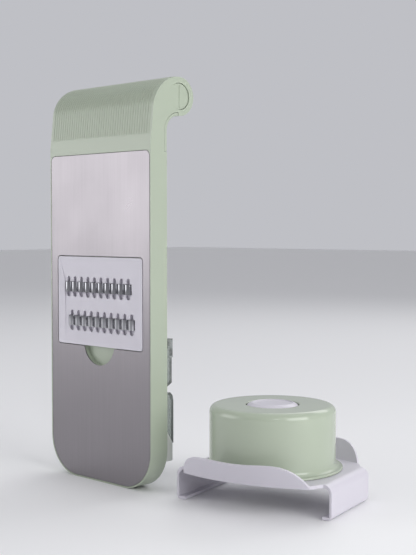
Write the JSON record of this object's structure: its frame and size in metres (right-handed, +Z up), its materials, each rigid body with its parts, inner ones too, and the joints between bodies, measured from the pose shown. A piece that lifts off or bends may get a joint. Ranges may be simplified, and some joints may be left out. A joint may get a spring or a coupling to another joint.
{
  "type": "mandoline slicer",
  "caption": "Upright mandoline slicer with a steel slicing face, julienne insert, hooked handle and rear blade store, standing beside its drum-shaped food holder.",
  "frame": {"origin": "middle of the board's bottom edge, halfway through its depth", "axes": "+Z up along the board to the hook, -Y out of the slicing face, +X to the right across the board towards the food holder"},
  "size_m": [0.2054, 0.1002, 0.2448],
  "materials": {
    "sage_plastic": "satin moulded",
    "white_plastic": "satin moulded",
    "grey_plastic": "satin moulded",
    "clear_plastic": "clear",
    "brushed_steel": "fine vertical brush",
    "blade_steel": "polished stainless"
  },
  "bodies": {
    "board": {"main_frame": "sage_plastic", "steel_panel": "brushed_steel", "handle_rear_cover": "sage_plastic", "hook_end_cap_right": "sage_plastic", "hook_end_cap_left": "sage_plastic", "back_cover": "sage_plastic", "back_cover_screw_1": "blade_steel", "back_cover_screw_2": "blade_steel", "back_cover_screw_3": "blade_steel", "back_cover_screw_4": "blade_steel", "slicing_carrier": "white_plastic", "slicing_blade": "blade_steel", "grating_carrier": "white_plastic", "grating_plate": "blade_steel", "upper_hinge_pin": "blade_steel", "lower_hinge_pin": "blade_steel"},
    "julienne_insert": {"julienne_carrier": "white_plastic", "julienne_blade_upper": "blade_steel", "julienne_blade_lower": "blade_steel"},
    "upper_door": {"upper_door": "clear_plastic"},
    "lower_door": {"lower_door_cover": "clear_plastic", "lower_door_heel": "grey_plastic"},
    "holder": {"holder_saddle": "white_plastic"},
    "drum": {"holder_drum": "sage_plastic", "holder_spring": "blade_steel"},
    "plunger": {"holder_button": "white_plastic", "spiked_pusher": "white_plastic", "pusher_screw": "blade_steel"}
  },
  "joints": [
    {"name": "insert_lift_out", "type": "slide", "parent": "board", "child": "julienne_insert", "axis": [0, -1, 0], "range_m": [0, 0.03]},
    {"name": "upper_door_hinge", "type": "hinge", "parent": "board", "child": "upper_door", "pos_m": [0, 0.0103, 0.0861], "axis": [1, 0, 0], "range_deg": [0, 90]},
    {"name": "lower_door_hinge", "type": "hinge", "parent": "board", "child": "lower_door", "pos_m": [0, 0.011, 0.0124], "axis": [-1, 0, 0], "range_deg": [0, 90]},
    {"name": "holder_set_down", "type": "slide", "parent": "board", "child": "holder", "axis": [0, 0, 1], "range_m": [0, 0.07]},
    {"name": "drum_lift", "type": "slide", "parent": "holder", "child": "drum", "axis": [0, 0, 1], "range_m": [0, 0.045]},
    {"name": "button_press", "type": "slide", "parent": "drum", "child": "plunger", "axis": [0, 0, -1], "range_m": [0, 0.006], "stiffness_N_per_m": 600, "springref_m": -0.003, "deforming": ["holder_spring"]}
  ]
}
